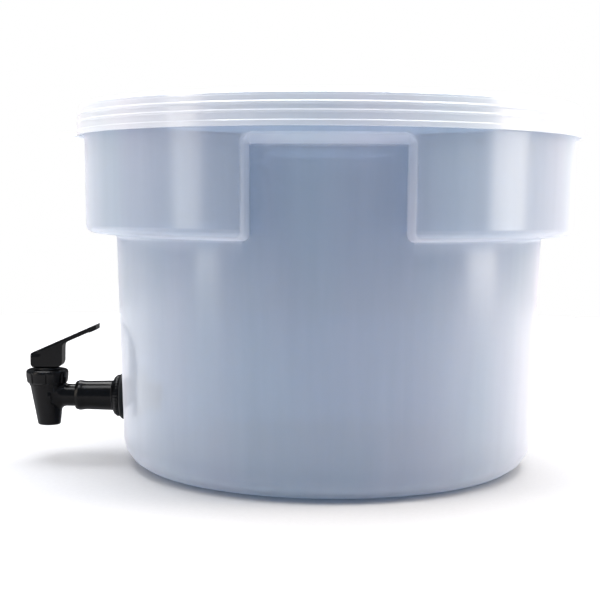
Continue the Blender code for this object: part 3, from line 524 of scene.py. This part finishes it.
spout_profile = outline([
    (SPOUT_END - 0.0002, SPOUT_LOW, 0.0006), (spout_radius(0.0217) + 0.0001, 0.0217, 0.0006),
    (SPOUT_TOP, 0.0463, 0.0004), (0.0114, 0.0464, 0.0003), (0.0114, 0.0514, 0.0003), (0.0077, 0.0514, 0.0003),
    (0.0077, 0.0368, 0.0012), (0.0042, 0.0335, 0.0003), (0.0042, 0.0322), (0.0036, 0.0318), (0.0054, SPOUT_LOW, 0.0004),
], 0.0016, closed=True)
round_stem = np.linspace(0, 2 * pi, 97)[:-1]
tap_body = shell("tap_spout", about_stem(spout_profile, round_stem, spout_lean(spout_profile[:, 1])), looped=True)
bend = np.linspace(0, pi / 2, 7)
off_spout = np.concatenate([[-0.0016], NECK_FILLET * (1 - np.cos(bend))])
flare = np.concatenate([[NECK_FILLET * 1.2], NECK_FILLET * (1 - np.sin(bend))])
neck_angles = np.linspace(0, 2 * pi, 73)[:-1]
neck_rows = []
for off, wide in zip(off_spout, flare):
    y, z = (NECK_RADIUS + wide) * np.cos(neck_angles), TAP_HEIGHT + (NECK_RADIUS + wide) * np.sin(neck_angles)
    z = np.minimum(z, 0.0478)
    surface = STEM_X + spout_lean(z) + np.sqrt(np.maximum(spout_radius(z) ** 2 - y**2, 0.0036**2))
    neck_rows.append(np.stack([surface + off, y, z], -1))
tail = outline([
    (NECK_RADIUS, 0.0370), (NECK_RADIUS, 0.0205), (NECK_RADIUS, 0.0190), (0.00575, 0.01895), (0.00575, 0.0171),
    (NECK_RADIUS, 0.01705), (NECK_RADIUS, 0.0145, 0.0004), (0.0048, 0.0145),
], 0.0030)
neck = shell("tap_neck", np.concatenate([neck_rows, about_tube(tail, neck_angles)]))
cut(tap_body, neck, "UNION")
bore_profile = np.array([(0.0046, 0.0140), (0.0046, 0.0250), (0.0046, 0.0350), (0.0046, 0.0470)])
cut(tap_body, shell("neck_bore", about_tube(bore_profile, neck_angles)))
tap_body.data.materials.append(black_acetal)
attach(tap_body, "bucket_and_tap")
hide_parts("tap_body")


# The bonnet: an acetal cap that screws down on the tap body. Eight grip grooves run down its side, its
# top edge is rolled, and a raised pad in the middle carries the lever.
BONNET_GROOVES, GROOVE_DEPTH, FIRST_GROOVE, GROOVE_SHARE = 8, 0.00055, radians(80.4), 0.058
bonnet_profile = outline([
    (0.0029, 0.0577), (0.0078, 0.0577, 0.0004), (0.0080, 0.0567, 0.0004), (0.0113, 0.0565, 0.0006),
    (0.01345, 0.0568, 0.0018), (0.01335, 0.0520), (0.0128, 0.0484, 0.0004), (0.0121, 0.0478, 0.0003),
    (0.0116, 0.0478), (0.0116, 0.0537), (0.0078, 0.0537), (0.0078, 0.0557), (0.0029, 0.0557),
], 0.0012, closed=True)
round_bonnet = np.linspace(0, 2 * pi, 161)[:-1]
bonnet_rings = about_stem(bonnet_profile, round_bonnet)
in_step = np.mod((round_bonnet + FIRST_GROOVE) * BONNET_GROOVES / (2 * pi) + 0.5, 1) - 0.5
groove = np.clip(1 - (np.abs(in_step) / GROOVE_SHARE) ** 2, 0, 1)
on_side = (np.clip((bonnet_profile[:, 0] - 0.0119) / 0.0008, 0, 1)
           * np.clip((0.0552 - bonnet_profile[:, 1]) / 0.0012, 0, 1))
shrink = 1 - GROOVE_DEPTH / 0.0130 * on_side[:, None] * groove[None]
bonnet_rings[..., 0] = STEM_X + (bonnet_rings[..., 0] - STEM_X) * shrink
bonnet_rings[..., 1] *= shrink
bonnet = shell("bonnet_cap", bonnet_rings, looped=True)
bonnet.data.materials.append(black_acetal)
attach(bonnet, "bucket_and_tap")
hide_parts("bonnet")


# The lever: an acetal moulding that rocks on the bonnet's pad. A block straddles the stem, and a thin
# blade rises from it over the tube, widening to a thicker pad at its tip.
PIN_HEIGHT, LEVER_RISE = 0.0650, radians(24.0)
LEVER_BACK, LEVER_FRONT, LEVER_TIP, LEVER_LOW = -0.0096, 0.0107, 0.0328, -0.0070
LEVER_HALF, BLADE_THICK = 0.0060, 0.0026 / cos(LEVER_RISE)
lever_back_top = LEVER_LOW + 0.0090


def lever_top(x):
    """The height of the lever's top face, a straight slope, over the pin."""
    return lever_back_top + (x - LEVER_BACK) * tan(LEVER_RISE)


under_side = outline([
    (LEVER_BACK, LEVER_LOW + 0.0034), (LEVER_BACK, LEVER_LOW + 0.0016, 0.0006),
    (LEVER_BACK + 0.0012, LEVER_LOW, 0.0010), (LEVER_FRONT, LEVER_LOW, 0.0042),
    (LEVER_FRONT, lever_top(LEVER_FRONT) - BLADE_THICK, 0.0035),
    (LEVER_TIP - 0.0050, lever_top(LEVER_TIP - 0.0050) - BLADE_THICK),
    (LEVER_TIP - 0.0044, lever_top(LEVER_TIP - 0.0044) - BLADE_THICK - 0.0004),
    (LEVER_TIP, lever_top(LEVER_TIP) - BLADE_THICK - 0.0004),
], 0.0009)
run = np.concatenate([[0], np.cumsum(np.abs(np.diff(under_side[:, 0])) + 0.35 * np.abs(np.diff(under_side[:, 1])))])
top_x = LEVER_BACK + (LEVER_TIP - LEVER_BACK) * run / run[-1]
top_side = np.stack([top_x, lever_top(top_x)], -1)


def lever_rings(under, top):
    """Rings across the lever. Each is a rounded rectangle standing on the line from a point of the underside to
    one of the top: t along that line, y = half width. Half width grows along the blade, steps in by 0.4 mm on the
    block's upper back corner, and all four edges are rounded by arcs."""
    edge = 0.0007
    quarter = np.linspace(0, pi / 2, 5)
    length = np.linalg.norm(top - under, axis=1)[:, None]
    x_along = (under[:, :1] - LEVER_FRONT) / (LEVER_TIP - LEVER_FRONT)
    half = LEVER_HALF + 0.0008 * np.clip(x_along, 0, 1)
    share = edge / length
    up = np.concatenate([share * (1 - np.cos(quarter)), share + (1 - 2 * share) * np.linspace(0, 1, 14)[1:-1],
                         1 - share * (1 - np.cos(quarter[::-1]))], 1)
    inset = np.concatenate([edge * (1 - np.sin(quarter)), np.zeros(12), edge * (1 - np.sin(quarter[::-1]))])
    x = under[:, :1] + (top[:, :1] - under[:, :1]) * up
    z = under[:, 1:] + (top[:, 1:] - under[:, 1:]) * up
    step = np.clip((-0.0036 - x) / 0.0003, 0, 1) * np.clip((z - 0.0006) / 0.0003, 0, 1)
    y = half - inset - 0.0004 * step
    side = np.stack([x, -y, z], -1)
    other = np.stack([x, y, z], -1)[:, ::-1]
    over = np.linspace(0, 1, 6)[1:-1][None, :, None]
    across_top = side[:, -1:] + (other[:, :1] - side[:, -1:]) * over
    across_low = other[:, -1:] + (side[:, :1] - other[:, -1:]) * over
    return np.concatenate([side, across_top, other, across_low], 1)


rings = lever_rings(under_side, top_side)
back_middle, tip_middle = rings[0].mean(0), rings[-1].mean(0)
back_cap = np.stack([back_middle + (rings[0] - back_middle) * size for size in (0.6, 0.95)])
tip_cap = np.stack([tip_middle + (rings[-1] - tip_middle) * size for size in (0.985, 0.93, 0.6)])
rings = np.concatenate([back_cap, rings, tip_cap]) + (STEM_X, 0, PIN_HEIGHT)
lever = shell("lever_arm", rings)
slot_arc = np.linspace(0, pi - radians(30), 24)
slot_line = np.stack([-0.0029 * np.cos(slot_arc), 0.0029 * np.sin(slot_arc)], -1)
slot_out = (0.011 + slot_line[-1, 1]) / cos(radians(30))
slot_end = (slot_line[-1, 0] + slot_out * sin(radians(30)), -0.011)
slot_line = np.concatenate([[(-0.0029, -0.011)], slot_line, [slot_end]])
slot_rings = np.stack([
    np.stack([STEM_X + slot_line[:, 0], np.full(len(slot_line), y), PIN_HEIGHT + slot_line[:, 1]], -1)
    for y in (-0.0029, 0.0029)])
cut(lever, shell("stem_slot", slot_rings))
pin_angles = np.linspace(0, 2 * pi, 33)[:-1]
hole_x, hole_z = STEM_X + 0.0014 * np.cos(pin_angles), PIN_HEIGHT + 0.0014 * np.sin(pin_angles)
pin_hole = np.stack([np.stack([hole_x, np.full(32, y), hole_z], -1) for y in (-0.0059, 0.0059)])
cut(lever, shell("pin_hole", pin_hole))
lever.data.materials.append(black_acetal)
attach(lever, "lever")
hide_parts("tap_lever")


# Inside the tap: a stainless closing spring under a slip washer pushes the stem down, and a silicone cup
# on the stem's end closes the seat. The small turned and pressed pieces keep the shapes of the frame.
SPRING_RADIUS, SPRING_WIRE, SPRING_LOW, SPRING_HIGH, SPRING_TURNS = 0.0042, 0.00045, 0.04175, 0.05405, 6.5
turns = np.linspace(0, 2 * pi * SPRING_TURNS, 235)
wire = np.linspace(0, 2 * pi, 11)[:-1]
coil_height = SPRING_LOW + (SPRING_HIGH - SPRING_LOW) * turns / turns[-1]
coil_radius = SPRING_RADIUS + SPRING_WIRE * np.cos(wire)
spring_rings = np.stack([STEM_X + coil_radius * np.cos(turns)[:, None], coil_radius * np.sin(turns)[:, None],
                         coil_height[:, None] + SPRING_WIRE * np.sin(wire)], -1)
spring = shell("spring_coil", spring_rings)
cup_profile = outline([
    (0.0002, 0.0362), (0.0027, 0.0362), (0.0027, 0.0393), (0.0053, 0.0393, 0.0003), (0.0059, 0.0534, 0.0002),
    (0.0110, 0.0534, 0.0003), (0.0110, 0.0519, 0.0003), (0.0069, 0.0519, 0.0004), (0.0063, 0.0383, 0.0010),
    (0.0042, 0.0343, 0.0006), (0.0002, 0.0337),
], 0.0012)
cup = shell("seat_bell", about_stem(cup_profile, pin_angles))
silicone = moulded("silicone", "#c9cdce", "#dfe2e1", 0.45, speck=0.0006)
white_acetal = moulded("white_acetal", "#dcdcd8", "#e9e8e4", 0.36)
steel, tree, here = new_material("stainless_steel")
stretched = add(tree, "Mapping", {"Vector": here, "Scale": (900.0, 900.0, 90.0)}).outputs[0]
drawn = add(tree, "TexNoise", {"Vector": stretched, "Scale": 1.0, "Detail": 2.0}).outputs[0]
polish = add(tree, "MapRange", {0: drawn, 3: 0.22, 4: 0.38}).outputs[0]
shine = add(tree, "ValToRGB", {0: drawn})
shine.color_ramp.elements[0].color, shine.color_ramp.elements[1].color = linear("#b9b6b1"), linear("#cfccc7")
metal = add(tree, "BsdfPrincipled", {"Base Color": shine.outputs[0], "Metallic": 1.0, "Roughness": polish})
add(tree, "OutputMaterial", {"Surface": metal.outputs[0]})
for piece, body, node, slot, material in (
        (spring, "swivel", "closing_spring", "stainless_steel", steel),
        (cup, "bucket_and_tap", "seat_cup", "silicone", silicone)):
    piece.data.materials.append(material)
    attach(piece, body)
    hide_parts(node)
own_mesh(spring)
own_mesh(cup)
for node, material in (("stem", white_acetal), ("slip_washer", white_acetal), ("lever_pin", steel),
                       ("shank_o_ring", black_rubber)):
    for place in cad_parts[node].material_slots:
        place.material = material


# The studio: a white floor under a white sweep, tall softboxes at both sides that leave the middle of the
# bucket dim, a soft top light, and a cool fill from all round.
def card(name, size, power, place, aim, colour="#ffffff"):
    """A rectangular softbox at `place`, facing `aim`."""
    lamp = bpy.data.lights.new(name, "AREA")
    lamp.shape, (lamp.size, lamp.size_y) = "RECTANGLE", size
    lamp.energy, lamp.color = power, linear(colour)[:3]
    made = bpy.data.objects.new(name, lamp)
    bpy.context.scene.collection.objects.link(made)
    away = np.array(place, float) - aim
    away /= np.linalg.norm(away)
    side = np.cross((0, 0, 1), away) if abs(away[2]) < 0.99 else np.array((1.0, 0, 0))
    side /= np.linalg.norm(side)
    up = np.cross(away, side)
    made.matrix_world = Matrix(np.vstack([np.column_stack([side, up, away, place]), (0, 0, 0, 1)]).tolist())
    return made


card("left_softbox", (0.42, 2.0), 9, (-1.20, -0.61, 0.75), (0, 0, 0.12), "#fff2e2")
card("right_softbox", (0.60, 2.0), 17, (1.34, -0.12, 0.75), (0, 0, 0.12), "#fff2e2")
card("left_wing", (0.9, 1.6), 10, (-1.35, 0.06, 0.6), (0, 0, 0.12), "#fff2e2").visible_glossy = False
card("right_wing", (0.9, 1.6), 17, (1.35, 0.06, 0.6), (0, 0, 0.12), "#fff2e2").visible_glossy = False
card("top_softbox", (2.4, 2.4), 135, (0, 0.3, 2.0), (0, 0, 0))

floor = shell("studio_floor", np.stack([
    np.stack([r * np.cos(even), r * np.sin(even), np.full(len(even), -0.0004 - drop)], -1)
    for r, drop in ((0.01, 0.0), (0.5, 0.0), (1.1, 0.0), (1.1, 0.01), (0.01, 0.01))]))
paper, tree, here = new_material("white_paper_sweep")
fibre = add(tree, "TexNoise", {"Vector": here, "Scale": 400.0, "Detail": 2.0}).outputs[0]
white = add(tree, "ValToRGB", {0: fibre})
white.color_ramp.elements[0].color, white.color_ramp.elements[1].color = linear("#b4b4b6"), linear("#bababc")
add(tree, "OutputMaterial", {"Surface": add(tree, "BsdfDiffuse", {"Color": white.outputs[0]}).outputs[0]})
floor.data.materials.append(paper)

world = bpy.data.worlds.new("studio")
bpy.context.scene.world = world
world.use_nodes = True
tree = world.node_tree
tree.nodes.clear()
fill = add(tree, "Background", {"Color": linear("#bccddf"), "Strength": 0.58})
sweep = add(tree, "Background", {"Color": (1, 1, 1, 1), "Strength": 1.0})
toward = add(tree, "SeparateXYZ", {0: add(tree, "TexCoord").outputs["Generated"]}).outputs[1]
behind = add(tree, "MapRange", {0: toward, 1: 0.1, 2: 0.8}).outputs[0]
glow = add(tree, "Background", {"Color": linear("#e6ecf3"), "Strength": 0.42})
around = add(tree, "MixShader", {0: behind, 1: fill.outputs[0], 2: glow.outputs[0]})
to_camera = add(tree, "LightPath").outputs["Is Camera Ray"]
seen = add(tree, "MixShader", {0: to_camera, 1: around.outputs[0], 2: sweep.outputs[0]})
add(tree, "OutputWorld", {"Surface": seen.outputs[0]})
bpy.context.scene.view_settings.view_transform = "Standard"

pitch, yaw, roll = radians(4.413), radians(-1.224), radians(0.405)
ahead = np.array((sin(yaw) * cos(pitch), cos(yaw) * cos(pitch), -sin(pitch)))
right = np.array((cos(yaw), -sin(yaw), 0.0))
up = np.cross(right, ahead)
right, up = cos(roll) * right + sin(roll) * up, -sin(roll) * right + cos(roll) * up
lens = bpy.data.cameras.new("studio_camera")
lens.lens, lens.sensor_width = 77.64, 36.0
camera = bpy.data.objects.new("studio_camera", lens)
bpy.context.scene.collection.objects.link(camera)
camera.matrix_world = Matrix(np.vstack([np.column_stack([right, up, -ahead, (0, -0.8224, 0.16575)]),
                                        (0, 0, 0, 1)]).tolist())
bpy.context.scene.camera = camera
